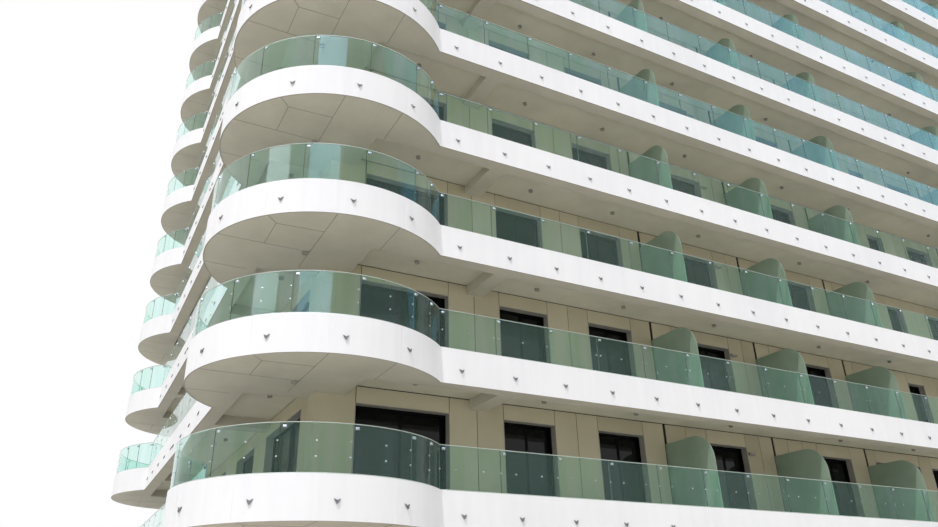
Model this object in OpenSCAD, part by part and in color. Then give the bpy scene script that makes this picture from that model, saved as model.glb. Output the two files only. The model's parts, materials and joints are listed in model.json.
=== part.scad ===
// Apartment block with wraparound balconies and four rounded corners, as a model at half real size.
// The front looks towards -Y. The origin is on the ground, at the centre of the plan.

/* [Storeys] */
// Number of upper storeys, each with its own balcony round the block
storeys = 10; // [2:1:12]
// Height from one balcony to the next
storey_h = 1600; // [1450:10:1800]
// Height of the ground storey, up to the underside of the first white band
ground_h = 1700; // [1500:10:2200]
// Thickness of the ground floor
ground_floor_t = 60; // [40:5:120]

/* [Plan] */
// Width of each corner flat along the front, from the wall's corner to its party line
corner_flat_w = 5240; // [5000:10:5800]
// Width of a small flat between two party lines
small_flat_w = 2230; // [2150:10:2600]
// Width of the large flat in the middle
large_flat_w = 4240; // [4000:10:5200]
// Depth of the walled building from front to back
wall_depth = 8820; // [8400:10:9600]
// Thickness of the outside walls
wall_t = 150; // [100:5:200]
// Depth of the balcony from the face of the white band to the wall
gallery_d = 950; // [800:10:1100]

/* [White bands] */
// Height of the white band
band_h = 420; // [380:5:460]
// Thickness of the white band
band_t = 60; // [40:5:80]
// Height of the balcony floor over the bottom of the band
floor_z = 320; // [280:5:360]
// Height of the recessed ceiling over the bottom of the band
recess_z = 140; // [100:5:180]
// Width of the level strip along the bottom of the band, face to recess
lip_w = 200; // [150:5:260]

/* [Rounded corners] */
// Radius of the rounded corner balcony at the face of its band
corner_r = 1490; // [1420:10:1560]
// Distance from the centre of the rounded corner to the face of each straight band
corner_inset = 1000; // [950:10:1100]
// Distance from the crease, where band and rounded corner meet, on to the level ceiling of the corner
flush_l = 810; // [700:10:900]
// Number of curved band panels round one corner
band_panels = 6; // [5:1:8]
// Open joint between two curved band panels
band_gap = 4; // [3:1:8]

/* [Downstand beams] */
// Distance from the crease to the near side of the downstand beam
beam_x = 865; // [700:5:1000]
// Width of the downstand beam
beam_w = 235; // [150:5:600]

/* [Glass] */
// Height of the balustrade glass over the white band
glass_h = 480; // [420:10:540]
// Thickness of the balustrade glass
glass_t = 12; // [8:1:20]
// Distance from the face of the band to the face of the glass
glass_in = 20; // [10:1:26]
// Number of curved glass panes round one corner
glass_panes = 7; // [6:1:9]
// Gap between two curved panes
glass_gap = 10; // [6:1:16]

/* [Privacy screens] */
// Height of the screen over the balcony floor
screen_h = 1116; // [1000:4:1200]
// Thickness of the screen
screen_t = 12; // [8:1:20]
// Gap between the screen and the balustrade glass, and between its notch and the band
screen_gap = 10; // [5:1:30]
// Depth of the rounded top corner of the screen
screen_round_d = 340; // [250:2:450]
// Height of the rounded top corner of the screen
screen_round_h = 376; // [300:2:620]

/* [Doorways] */
// Height of a balcony doorway over the balcony floor
door_h = 1208; // [1100:2:1240]
// Width of a usual doorway
door_w = 810; // [700:5:900]
// Width of the wide doorway at the rounded corner
corner_door_w = 1250; // [1000:5:1300]
// Width of the living room doorway in the large flat
living_door_w = 1220; // [1000:5:1300]
// Width of the narrow doorway in the large flat
narrow_door_w = 490; // [400:5:600]
// Distance from the wall's corner to the wide doorway
corner_door_x = 485; // [400:5:600]
// Distance from the wall's corner to the second doorway of the corner flat
second_door_x = 2515; // [2300:5:2700]
// Distance from the wall's corner to the third doorway of the corner flat
third_door_x = 4030; // [3800:5:4100]
// Distance from the party line to the doorway of the first small flat
small_door_x = 815; // [750:5:1000]
// Distance from the party line to the doorway of the second small flat
next_door_x = 1015; // [850:5:1150]
// Distance from the party line to the living room doorway
living_door_x = 230; // [200:5:300]
// Distance from the party line to the narrow doorway
narrow_door_x = 1780; // [1700:5:1850]
// Distance from the party line to the last doorway of the large flat
last_door_x = 3070; // [2800:5:3100]
// Distance from the wall's corner to the wide doorway on the short side
side_door_x = 510; // [400:5:600]
// Width of the wide doorway on the short side
side_door_w = 1650; // [1400:5:1800]
// Distance from the wall's corner to the second doorway on the short side
side_second_x = 2830; // [2700:5:2900]
// Width of the second doorway on the short side
side_second_w = 1180; // [1000:5:1250]

/* [Roof] */
// Length of the stair house on the roof
house_l = 2800; // [2000:10:4000]
// Depth of the stair house
house_d = 2000; // [1500:10:3000]
// Height of the stair house walls
house_h = 1200; // [1150:10:1500]
// Thickness of the stair house walls
house_t = 100; // [80:5:150]
// Thickness of the stair house roof
house_roof_t = 80; // [60:5:120]
// Overhang of the stair house roof
house_over = 80; // [0:5:150]
// Width of the stair house doorway
house_door_w = 500; // [400:5:600]
// Height of the stair house doorway
house_door_h = 1050; // [1000:5:1100]

/* [Hidden] */
$fn = 96;
screen_steps = 10;
wall_l = 2*corner_flat_w + 4*small_flat_w + large_flat_w;
face_x = wall_l/2 + gallery_d;
face_y = wall_depth/2 + gallery_d;
centre_x = face_x - corner_inset;
centre_y = face_y - corner_inset;
head_drop = storey_h - floor_z - door_h;
inner_r = corner_r - band_t;
inner_inset = corner_inset - band_t;
crease = sqrt(corner_r*corner_r - corner_inset*corner_inset);
inner_crease = sqrt(inner_r*inner_r - inner_inset*inner_inset);
level_x = flush_l - crease;
far = 2*corner_r;
glass_r = corner_r - glass_in;
glass_inset = corner_inset - glass_in;
glass_crease = sqrt(glass_r*glass_r - glass_inset*glass_inset);
glass_back_crease = sqrt(pow(glass_r - glass_t, 2) - pow(glass_inset - glass_t, 2));
roof_z = band_z(storeys + 1) + floor_z;
party = [for (p = [corner_flat_w, corner_flat_w + small_flat_w, corner_flat_w + 2*small_flat_w])
    each [p, wall_l - p]];

// Doorways of half the front: start, measured from the wall's corner, and width
half_doors = [
    [corner_door_x, corner_door_w],
    [second_door_x, door_w],
    [third_door_x, door_w],
    [corner_flat_w + small_door_x, door_w],
    [corner_flat_w + small_flat_w + next_door_x, door_w]];
middle_doors = [
    [corner_flat_w + 2*small_flat_w + living_door_x, living_door_w],
    [corner_flat_w + 2*small_flat_w + narrow_door_x, narrow_door_w],
    [corner_flat_w + 2*small_flat_w + last_door_x, door_w]];
long_doors = concat(half_doors, middle_doors, mirrored(half_doors, wall_l));
side_half = [[side_door_x, side_door_w], [side_second_x, side_second_w]];
side_doors = concat(side_half, mirrored(side_half, wall_depth));

// Height of the underside of the white band number n, where 1 is the lowest
function band_z(n) = ground_h + (n - 1)*storey_h;

// Level that a storey's walls stand on, where 0 is the ground storey
function stand_z(n) = n == 0 ? ground_floor_t : band_z(n) + floor_z;

// The same doorways seen from the other end of a wall of length l
function mirrored(doors, l) = [for (i = [len(doors) - 1 : -1 : 0]) [l - doors[i][0] - doors[i][1], doors[i][1]]];

// Turns a child, drawn for the back right corner, to the corner on side sx, sy
module to_corner(sx, sy)
    mirror([sx < 0 ? 1 : 0, 0, 0]) mirror([0, sy < 0 ? 1 : 0, 0]) translate([centre_x, centre_y, 0]) children();

// Turns a child, drawn along the back at its middle, to the front
module to_side(sy) mirror([0, sy < 0 ? 1 : 0, 0]) children();

// Floor plate of one storey, a rectangle with its corners cut off where the rounded corners begin
module floor_plate(n) {
    x = face_x - band_t;
    y = face_y - band_t;
    cut = inner_inset + inner_crease;
    translate([0, 0, band_z(n) + recess_z]) linear_extrude(floor_z - recess_z)
        polygon([[x, y - cut], [x - cut, y], [cut - x, y], [-x, y - cut],
            [-x, cut - y], [cut - x, -y], [x - cut, -y], [x, cut - y]]);
}

module floors() color("silver") for (n = [1 : storeys]) floor_plate(n);

module roof_slab() color("gray") floor_plate(storeys + 1);

// Rounded corner slabs: a part disc on the cut-off corner of every floor plate
module corner_slabs(sx, sy)
    color("silver") for (n = [1 : storeys + 1]) to_corner(sx, sy) translate([0, 0, band_z(n) + recess_z])
        linear_extrude(floor_z - recess_z) intersection() {
            circle(inner_r);
            rotate(45) translate([(inner_inset - inner_crease)/sqrt(2), -far]) square([far, 2*far]);
        }

// Level ceilings under the corner slabs, from the rounded edge to the corner of the walls
module corner_ceilings(sx, sy)
    color("darkgray") for (n = [1 : storeys + 1]) to_corner(sx, sy) translate([0, 0, band_z(n)])
        linear_extrude(recess_z) difference() {
            circle(inner_r);
            translate([level_x - far, inner_inset - far]) square(far);
            translate([inner_inset - far, level_x - far]) square(far);
            translate([1, 1]*(corner_inset - gallery_d - far)) square(far);
        }

// Outside end of the joint between a straight and a curved piece whose faces meet at c and whose backs meet at b
function mitre(c, b, k) = [c[0] + k*(c[0] - b[0]), c[1] + k*(c[1] - b[1])];

// Straight run of length 2*x, its face at y and its back t behind, cut at both ends along the joint
module straight_run(c_face, c_back, mid, t, h)
    linear_extrude(h) polygon([[-(mid + c_face), 0], [mid + c_face, 0], [mid + c_back, -t], [-(mid + c_back), -t]]);

// Panels of a curved strip with outer radius r and thickness t, in count pieces with gaps between them.
// The strip ends on the joints with the straight runs, which meet it at the given creases.
module curved_strip(r, t, inset, count, gap, h) {
    cr = sqrt(r*r - inset*inset);
    cb = sqrt((r - t)*(r - t) - (inset - t)*(inset - t));
    a0 = atan2(-cr, inset);
    step = (90 - 2*a0)/count;
    half_gap = gap/2/r*180/PI;
    for (i = [0 : count - 1]) {
        a = a0 + i*step + half_gap;
        b = a0 + (i + 1)*step - half_gap;
        low = i == 0 ? [mitre([inset - t, -cb], [inset, -cr], 4), mitre([inset, -cr], [inset - t, -cb], 20)]
            : [[0, 0], far*[cos(a), sin(a)]];
        high = i == count - 1 ? [mitre([-cr, inset], [-cb, inset - t], 20), mitre([-cb, inset - t], [-cr, inset], 4)]
            : [far*[cos(b), sin(b)], [0, 0]];
        linear_extrude(h) intersection() {
            difference() {
                circle(r);
                circle(r - t);
            }
            polygon(concat(low, high));
        }
    }
}

// Lip under the edge of the floor plates, between the level ceilings of two corners
module edge_beams() color("darkgray") for (n = [1 : storeys + 1]) translate([0, 0, band_z(n)]) {
    for (sy = [-1, 1]) {
        x = centre_x + level_x;
        translate([-x, sy < 0 ? band_t - face_y : face_y - lip_w, 0]) cube([2*x, lip_w - band_t, recess_z]);
    }
    for (sx = [-1, 1]) {
        y = centre_y + level_x;
        translate([sx < 0 ? band_t - face_x : face_x - lip_w, -y, 0]) cube([lip_w - band_t, 2*y, recess_z]);
    }
}

// Beams under the floor plates, from the lip to the wall, one each side of every rounded corner
module downstand_beams() color("darkgray") for (n = [1 : storeys + 1]) for (sx = [-1, 1]) for (sy = [-1, 1])
    to_corner(sx, sy) translate([0, 0, band_z(n)]) {
        translate([-crease - beam_x - beam_w, corner_inset - gallery_d, 0])
            cube([beam_w, gallery_d - lip_w, recess_z]);
        translate([corner_inset - gallery_d, -crease - beam_x - beam_w, 0])
            cube([gallery_d - lip_w, beam_w, recess_z]);
    }

// Straight white bands of the long and short sides
module long_band(sy) color("white") for (n = [1 : storeys + 1]) to_side(sy)
    translate([0, face_y, band_z(n)]) straight_run(-crease, -inner_crease, centre_x, band_t, band_h);

module short_band(sx) color("white") for (n = [1 : storeys + 1]) rotate(sx < 0 ? 90 : -90)
    translate([0, face_x, band_z(n)]) straight_run(-crease, -inner_crease, centre_y, band_t, band_h);

// Curved white band of one corner, in panels
module corner_band(sx, sy) color("white") for (n = [1 : storeys + 1]) to_corner(sx, sy)
    translate([0, 0, band_z(n)]) curved_strip(corner_r, band_t, corner_inset, band_panels, band_gap, band_h);

// Wall piers between the doorways of one storey, along x, with the outer face at y = 0
module piers(doors, l, inset, z0, z1) for (i = [0 : len(doors)]) {
    start = i == 0 ? inset : doors[i - 1][0] + doors[i - 1][1];
    end = i == len(doors) ? l - inset : doors[i][0];
    translate([start - l/2, -wall_t, z0]) cube([end - start, wall_t, z1 - z0]);
}

// Top of the doorways of storey n
function head_z(n) = band_z(n + 1) - head_drop;

module long_wall(sy) color("tan") for (n = [0 : storeys]) to_side(sy)
    translate([0, wall_depth/2, 0]) piers(long_doors, wall_l, 0, stand_z(n), head_z(n));

module short_wall(sx) color("tan") for (n = [0 : storeys]) rotate(sx < 0 ? 90 : -90)
    translate([0, wall_l/2, 0]) piers(side_doors, wall_depth, wall_t, stand_z(n), head_z(n));

// Beams over the doorways, up to the floor plate of the next storey
module head_beams_long() color("tan") for (n = [0 : storeys]) for (sy = [-1, 1]) to_side(sy)
    translate([-wall_l/2, wall_depth/2 - wall_t, head_z(n)]) cube([wall_l, wall_t, head_drop + recess_z]);

module head_beams_short() color("tan") for (n = [0 : storeys]) for (sx = [-1, 1]) rotate(sx < 0 ? 90 : -90)
    translate([wall_t - wall_depth/2, wall_l/2 - wall_t, head_z(n)])
        cube([wall_depth - 2*wall_t, wall_t, head_drop + recess_z]);

// Balustrade glass, standing on the white bands of the upper storeys
module long_glass(sy) color("lightcyan", 0.5) for (n = [1 : storeys]) to_side(sy)
    translate([0, face_y - glass_in, band_z(n) + band_h])
        straight_run(-glass_crease, -glass_back_crease, centre_x, glass_t, glass_h);

module short_glass(sx) color("lightcyan", 0.5) for (n = [1 : storeys]) rotate(sx < 0 ? 90 : -90)
    translate([0, face_x - glass_in, band_z(n) + band_h])
        straight_run(-glass_crease, -glass_back_crease, centre_y, glass_t, glass_h);

module corner_glass(sx, sy) color("lightcyan", 0.5) for (n = [1 : storeys]) to_corner(sx, sy)
    translate([0, 0, band_z(n) + band_h])
        curved_strip(glass_r, glass_t, glass_inset, glass_panes, glass_gap, glass_h);

// Frosted screens on the party lines between two balconies. The outer top corner is rounded and the
// outer bottom corner is notched round the band.
module privacy_screens(sy) {
    out = gallery_d - glass_in - glass_t - screen_gap;
    notch_d = gallery_d - band_t - screen_gap;
    notch_h = band_h - floor_z + screen_gap;
    outline = concat([[0, 0], [notch_d, 0], [notch_d, notch_h], [out, notch_h]],
        [for (i = [0 : screen_steps]) let (a = 90*i/screen_steps)
            [out - screen_round_d + screen_round_d*cos(a), screen_h - screen_round_h + screen_round_h*sin(a)]],
        [[0, screen_h]]);
    color("darkseagreen") for (n = [1 : storeys]) for (p = party)
        to_side(sy) translate([p - screen_t/2 - wall_l/2, wall_depth/2, band_z(n) + floor_z])
            rotate([90, 0, 90]) linear_extrude(screen_t) polygon(outline);
}

module ground_floor() color("gray") translate([-wall_l/2, -wall_depth/2, 0])
    cube([wall_l, wall_depth, ground_floor_t]);

module stair_house_walls() color("tan") translate([0, 0, roof_z]) difference() {
    translate([-house_l/2, -house_d/2, 0]) cube([house_l, house_d, house_h]);
    translate([house_t - house_l/2, house_t - house_d/2, -1])
        cube([house_l - 2*house_t, house_d - 2*house_t, house_h + 2]);
    translate([-house_door_w/2, -house_d, -1]) cube([house_door_w, house_d, house_door_h + 1]);
}

module stair_house_roof() color("white")
    translate([-house_l/2 - house_over, -house_d/2 - house_over, roof_z + house_h])
        cube([house_l + 2*house_over, house_d + 2*house_over, house_roof_t]);

ground_floor();
floors();
roof_slab();
corner_slabs(-1, -1);  // corner_slabs_front_left
corner_slabs(1, -1);  // corner_slabs_front_right
corner_slabs(-1, 1);  // corner_slabs_back_left
corner_slabs(1, 1);  // corner_slabs_back_right
corner_ceilings(-1, -1);  // corner_ceilings_front_left
corner_ceilings(1, -1);  // corner_ceilings_front_right
corner_ceilings(-1, 1);  // corner_ceilings_back_left
corner_ceilings(1, 1);  // corner_ceilings_back_right
edge_beams();
downstand_beams();
long_band(-1);  // band_front
long_band(1);  // band_back
short_band(-1);  // band_left
short_band(1);  // band_right
corner_band(-1, -1);  // band_corner_front_left
corner_band(1, -1);  // band_corner_front_right
corner_band(-1, 1);  // band_corner_back_left
corner_band(1, 1);  // band_corner_back_right
long_wall(-1);  // front_wall
long_wall(1);  // back_wall
short_wall(-1);  // left_wall
short_wall(1);  // right_wall
head_beams_long();  // head_beams_front_back
head_beams_short();  // head_beams_sides
long_glass(-1);  // glass_front
long_glass(1);  // glass_back
short_glass(-1);  // glass_left
short_glass(1);  // glass_right
corner_glass(-1, -1);  // glass_corner_front_left
corner_glass(1, -1);  // glass_corner_front_right
corner_glass(-1, 1);  // glass_corner_back_left
corner_glass(1, 1);  // glass_corner_back_right
privacy_screens(-1);  // privacy_screens_front
privacy_screens(1);  // privacy_screens_back
stair_house_walls();
stair_house_roof();
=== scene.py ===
import json
import math

import bpy
from mathutils import Matrix, Vector

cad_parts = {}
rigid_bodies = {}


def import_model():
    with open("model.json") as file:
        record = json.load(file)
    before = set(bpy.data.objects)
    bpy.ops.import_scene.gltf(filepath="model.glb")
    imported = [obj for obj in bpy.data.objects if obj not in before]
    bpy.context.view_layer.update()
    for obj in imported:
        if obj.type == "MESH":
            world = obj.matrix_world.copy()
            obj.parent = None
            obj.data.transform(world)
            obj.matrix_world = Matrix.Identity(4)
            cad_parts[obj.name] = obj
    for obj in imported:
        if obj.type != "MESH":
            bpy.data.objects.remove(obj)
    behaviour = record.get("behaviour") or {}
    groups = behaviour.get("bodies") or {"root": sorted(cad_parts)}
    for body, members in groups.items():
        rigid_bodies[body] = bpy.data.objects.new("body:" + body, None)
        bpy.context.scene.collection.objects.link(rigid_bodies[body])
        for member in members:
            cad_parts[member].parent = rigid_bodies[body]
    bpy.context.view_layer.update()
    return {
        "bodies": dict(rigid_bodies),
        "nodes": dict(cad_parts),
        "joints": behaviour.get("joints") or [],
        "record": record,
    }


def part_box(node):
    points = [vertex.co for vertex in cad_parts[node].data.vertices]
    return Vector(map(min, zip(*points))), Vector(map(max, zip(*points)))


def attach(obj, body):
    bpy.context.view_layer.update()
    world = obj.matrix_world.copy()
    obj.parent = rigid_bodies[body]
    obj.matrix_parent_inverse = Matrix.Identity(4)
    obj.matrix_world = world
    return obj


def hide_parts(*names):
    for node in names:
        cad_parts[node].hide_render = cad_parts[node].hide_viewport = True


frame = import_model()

nodes = frame["nodes"]
print("frame loaded,", len(nodes), "nodes")


# Sizes read from the frame
def marks(node, axis):  # the different places of a node's corners along one axis
    return sorted({round(v.co[axis], 4) for v in nodes[node].data.vertices})


def gaps(node, axis):  # the doorways: what lies between the piers of a wall
    ends = marks(node, axis)
    return list(zip(ends[1:-1:2], ends[2::2]))


bandLow = marks("band_front", 2)[0::2]
bandHeight = marks("band_front", 2)[1] - bandLow[0]
storeyHeight = bandLow[1] - bandLow[0]
storeyCount = len(bandLow) - 1
floorTop = marks("floors", 2)[1::2]
ceilingLow = marks("floors", 2)[0]
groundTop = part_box("ground_floor")[1].z
headLow = marks("front_wall", 2)[1::2]  # underside of the head beams, ground storey first
wallFace = -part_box("front_wall")[0].y
sideFace = -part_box("left_wall")[0].x
bandFace = -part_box("band_front")[0].y
sideBandFace = -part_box("band_left")[0].x
frontDoors = gaps("front_wall", 0)
sideDoors = gaps("left_wall", 1)
screenFaces = marks("privacy_screens_front", 0)
partyLines = [(a + b) / 2 for a, b in zip(screenFaces[0::2], screenFaces[1::2])]
cornerRadius, cornerInset = 1.49, 1.0  # the arc, and its centre's distance from both bands, as in the CAD
cornerCentre = Vector((cornerInset - sideBandFace, cornerInset - bandFace, 0))
frontAngle, cornerAngle = 270, 225  # where the front and the front left corner look, in degrees
arcSteps = 56  # flats of a curved edge
near = 0.001  # places closer than this are the same


def cornerArc(radius, inset):  # a curved edge: its first angle, its degrees, and its ends' distance
    crease = math.sqrt(radius ** 2 - inset ** 2)
    start = 180 - math.degrees(math.atan2(crease, inset))
    return start, 2 * (cornerAngle - start), crease


# Ways of working that every piece uses
def deselect():
    if bpy.context.mode != "OBJECT":
        bpy.ops.object.mode_set(mode="OBJECT")
    bpy.ops.object.select_all(action="DESELECT")


def pick(*pieces):
    deselect()
    for piece in pieces:
        piece.select_set(True)
    bpy.context.view_layer.objects.active = pieces[0]


def settle(piece):  # puts a piece's place into its mesh
    pick(piece)
    bpy.ops.object.transform_apply(location=True, rotation=True, scale=True)
    return piece


def block(low, high):
    deselect()
    low, high = Vector(low), Vector(high)
    bpy.ops.mesh.primitive_cube_add(size=1, location=(low + high) / 2, scale=high - low)
    return settle(bpy.context.active_object)


def selectFaces(piece, test):  # leaves the piece in edit mode with the faces that pass the test selected
    pick(piece)
    bpy.ops.object.mode_set(mode="EDIT")
    bpy.ops.mesh.select_mode(type="FACE")
    bpy.ops.mesh.select_all(action="DESELECT")
    bpy.ops.object.mode_set(mode="OBJECT")
    for face in piece.data.polygons:
        face.select = bool(test(face))
    bpy.ops.object.mode_set(mode="EDIT")


def done(piece=None):
    bpy.ops.object.mode_set(mode="OBJECT")
    return piece


def joined(name, pieces):
    pick(*pieces)
    if len(pieces) > 1:
        bpy.ops.object.join()
    piece = bpy.context.active_object
    piece.name = name
    piece.data.name = name
    return piece


def turned(piece, degrees, centre=(0, 0, 0)):  # about an upright axis, which needs no window
    piece.matrix_world = (Matrix.Translation(centre) @ Matrix.Rotation(math.radians(degrees), 4, "Z")
                          @ Matrix.Translation(-Vector(centre)) @ piece.matrix_world)
    return settle(piece)


def applied(piece, kind, **settings):
    pick(piece)
    modifier = piece.modifiers.new(kind.lower(), kind)
    for name, value in settings.items():
        setattr(modifier, name, value)
    bpy.ops.object.modifier_apply(modifier=modifier.name)
    return piece


def stacked(piece, count=storeyCount, step=storeyHeight):  # repeated upwards
    return applied(piece, "ARRAY", count=count, use_relative_offset=False, use_constant_offset=True,
                   constant_offset_displace=(0, 0, step))


def rowed(piece, count, step):  # repeated to the right
    return applied(piece, "ARRAY", count=count, use_relative_offset=False, use_constant_offset=True,
                   constant_offset_displace=(step, 0, 0))


def mirrored(piece, x=True, y=True):
    return applied(piece, "MIRROR", use_axis=(x, y, False), use_mirror_merge=False)


def onBothSides(piece, turn):  # drawn as a front: as front and back, or turned to left and right
    return mirrored(turned(piece, turn), x=turn != 0, y=turn == 0)


def finished(piece, material, smooth=None, replaces=()):
    piece.data.materials.clear()
    piece.data.materials.append(material)
    if smooth:
        pick(piece)
        bpy.ops.object.shade_smooth_by_angle(angle=math.radians(smooth))
    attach(piece, "root")
    if replaces:
        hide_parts(*replaces)
    return piece


# Materials
def linear(hexColour):  # from the colour as seen on a screen to the light it stands for
    parts = [int(hexColour[i:i + 2], 16) / 255 for i in (1, 3, 5)]
    return tuple(c / 12.92 if c <= 0.04045 else ((c + 0.055) / 1.055) ** 2.4 for c in parts) + (1,)


def newMaterial(name):  # with its shader, and the place on the object that its patterns read
    material = bpy.data.materials.new(name)
    material.use_nodes = True
    place = addNode(material, "TexCoord", {}).outputs["Object"]
    return material, material.node_tree.nodes["Principled BSDF"], place


def addNode(material, kind, settings, **inputs):  # an input is a value, or the socket that feeds it
    node = material.node_tree.nodes.new("ShaderNode" + kind)
    for name, value in settings.items():
        setattr(node, name, value)
    setInputs(material, node, {name.replace("_", " "): value for name, value in inputs.items()})
    return node


def setInputs(material, node, inputs):  # by name, or by number where two inputs share a name
    for name, value in inputs.items():
        if isinstance(value, bpy.types.NodeSocket):
            material.node_tree.links.new(value, node.inputs[name])
        else:
            node.inputs[name].default_value = value


def twoTone(material, fac, low, high, fromValue=0.3, toValue=0.7):
    ramp = addNode(material, "ValToRGB", {}, Fac=fac)
    ramp.color_ramp.elements[0].color = linear(low)
    ramp.color_ramp.elements[0].position = fromValue
    ramp.color_ramp.elements[1].color = linear(high)
    ramp.color_ramp.elements[1].position = toValue
    return ramp.outputs["Color"]


def dappled(name, scale, detail, low, high, inputs):  # soft spots of two tones, and the shader's other inputs
    material, shader, place = newMaterial(name)
    spots = addNode(material, "TexNoise", {}, Vector=place, Scale=scale, Detail=detail)
    setInputs(material, shader, {"Base Color": twoTone(material, spots.outputs["Fac"], low, high), **inputs})
    return material


# White coated aluminium panels: nearly even, with broad soft patches, faint rain marks down from the top edge
# and the slow waves of thin sheet
def coatedPanelWhite():
    material, shader, place = newMaterial("coatedPanelWhite")
    rain = addNode(material, "Mapping", {}, Vector=place, Scale=(9, 9, 0.7)).outputs["Vector"]
    rainMarks = addNode(material, "TexNoise", {}, Vector=rain, Scale=1.0, Detail=4.0, Roughness=0.6)
    patches = addNode(material, "TexNoise", {}, Vector=place, Scale=0.6, Detail=2.0)
    both = addNode(material, "Mix", {"data_type": "FLOAT"}, Factor=0.4,
                   A=patches.outputs["Fac"], B=rainMarks.outputs["Fac"]).outputs["Result"]
    colour = twoTone(material, both, "#ededf0", "#f5f5f7", 0.35, 0.6)
    waves = addNode(material, "TexNoise", {}, Vector=place, Scale=3.0, Detail=1.0)
    bump = addNode(material, "Bump", {}, Strength=0.05, Distance=0.01, Height=waves.outputs["Fac"])
    setInputs(material, shader, {"Base Color": colour, "Roughness": 0.5, "Specular IOR Level": 0.15,
                                 "Normal": bump.outputs["Normal"]})
    return material


# Painted cement render on the ceilings: grey beige and satin, with trowel mottling and a grain of about 2 mm
def paintedSoffit(name, low, high):
    material, shader, place = newMaterial(name)
    mottle = addNode(material, "TexNoise", {}, Vector=place, Scale=2.2, Detail=5.0, Roughness=0.6)
    colour = twoTone(material, mottle.outputs["Fac"], low, high)
    grain = addNode(material, "TexNoise", {}, Vector=place, Scale=260.0, Detail=2.0)
    bump = addNode(material, "Bump", {}, Strength=0.15, Distance=0.002, Height=grain.outputs["Fac"])
    setInputs(material, shader, {"Base Color": colour, "Roughness": 0.6, "Normal": bump.outputs["Normal"]})
    return material


# Fibre cement cladding boards: beige, each board a slightly different tone, with a fine pressed grain
def fibreCement():
    material, shader, place = newMaterial("fibreCement")
    board = addNode(material, "NewGeometry", {}).outputs["Random Per Island"]
    cloud = addNode(material, "TexNoise", {}, Vector=place, Scale=3.0, Detail=4.0, Roughness=0.65)
    both = addNode(material, "Mix", {"data_type": "FLOAT"}, Factor=0.5, A=board, B=cloud.outputs["Fac"])
    colour = twoTone(material, both.outputs["Result"], "#aba288", "#bdb49a", 0.15, 0.85)
    grain = addNode(material, "TexNoise", {}, Vector=place, Scale=180.0, Detail=3.0)
    bump = addNode(material, "Bump", {}, Strength=0.12, Distance=0.002, Height=grain.outputs["Fac"])
    setInputs(material, shader, {"Base Color": colour, "Roughness": 0.7, "Normal": bump.outputs["Normal"]})
    return material


# Toughened laminated float glass: the iron in it gives the green, and lamps shine through it. Its IOR is
# below the 1.5 of glass, because the studio is brighter than the sky that the real panes mirror
def balustradeGlass():
    material, shader, place = newMaterial("balustradeGlass")
    # The tint runs in upright streaks from green to a paler blue: partly a faint film on the glass, and
    # partly a painted reflection of the sky
    streak = addNode(material, "Mapping", {}, Vector=place, Scale=(7, 7, 0.6)).outputs["Vector"]
    filmAndPaintedReflection = addNode(material, "TexNoise", {}, Vector=streak, Scale=1.0, Detail=3.0)
    colour = twoTone(material, filmAndPaintedReflection.outputs["Fac"], "#d3f4e9", "#e1f8f8", 0.4, 0.65)
    setInputs(material, shader, {"Base Color": colour, "Roughness": 0.02, "IOR": 1.25,
                                 "Transmission Weight": 0.98, "Specular Tint": linear("#bdf2dc")})
    letThrough(material, shader, "#f2faf8")
    return material


def letThrough(material, shader, hexColour):  # lamps and soft light pass the glass as a tint
    path = addNode(material, "LightPath", {}).outputs
    either = addNode(material, "Math", {"operation": "MAXIMUM"})
    setInputs(material, either, {0: path["Is Shadow Ray"], 1: path["Is Diffuse Ray"]})
    clear = addNode(material, "BsdfTransparent", {}, Color=linear(hexColour))
    mix = addNode(material, "MixShader", {}, Fac=either.outputs["Value"])
    setInputs(material, mix, {1: shader.outputs["BSDF"], 2: clear.outputs["BSDF"]})
    setInputs(material, material.node_tree.nodes["Material Output"], {"Surface": mix.outputs["Shader"]})


# Black powder coat on aluminium: satin, with the fine orange peel of the coat
def powderBlack():
    material, shader, place = newMaterial("powderBlack")
    dust = addNode(material, "TexNoise", {}, Vector=place, Scale=5.0, Detail=3.0)
    peel = addNode(material, "TexNoise", {}, Vector=place, Scale=350.0, Detail=1.0)
    bump = addNode(material, "Bump", {}, Strength=0.05, Distance=0.001, Height=peel.outputs["Fac"])
    setInputs(material, shader, {"Base Color": twoTone(material, dust.outputs["Fac"], "#040505", "#0a0b0b"),
                                 "Roughness": 0.38, "IOR": 1.15, "Normal": bump.outputs["Normal"]})
    return material


# Brushed stainless steel of clamps, studs, screen shoes and door fittings: bright, a slightly uneven sheen
def brushedSteel():
    material, shader, place = newMaterial("brushedSteel")
    brush = addNode(material, "TexNoise", {}, Vector=place, Scale=60.0, Detail=2.0)
    rough = addNode(material, "MapRange", {}, Value=brush.outputs["Fac"], To_Min=0.25, To_Max=0.4)
    setInputs(material, shader, {"Base Color": twoTone(material, brush.outputs["Fac"], "#aab0b0", "#bec3c3"),
                                 "Metallic": 0.9, "Roughness": rough.outputs["Result"]})
    return material


# Balcony and roof paving: porcelain slabs of 600 mm real size with grey joints, a little soiled
def slabPaving(name, low, high, joint):
    material, shader, place = newMaterial(name)
    slabs = addNode(material, "TexBrick", {"offset": 0.0}, Vector=place, Scale=1.0, Color1=linear(low),
                    Color2=linear(high), Mortar=linear(joint), Brick_Width=0.3, Row_Height=0.3,
                    Mortar_Size=0.003)
    cloud = addNode(material, "TexNoise", {}, Vector=place, Scale=4.0, Detail=6.0, Roughness=0.65)
    tint = addNode(material, "Mix", {"data_type": "RGBA", "blend_type": "MULTIPLY"}, Factor=0.25)
    setInputs(material, tint, {6: slabs.outputs["Color"], 7: cloud.outputs["Color"]})  # its two colours
    result = tint.outputs[2]
    bump = addNode(material, "Bump", {}, Strength=0.3, Distance=0.003, Height=slabs.outputs["Fac"])
    bump.invert = True
    setInputs(material, shader, {"Base Color": result, "Roughness": 0.65, "Normal": bump.outputs["Normal"]})
    return material


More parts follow.
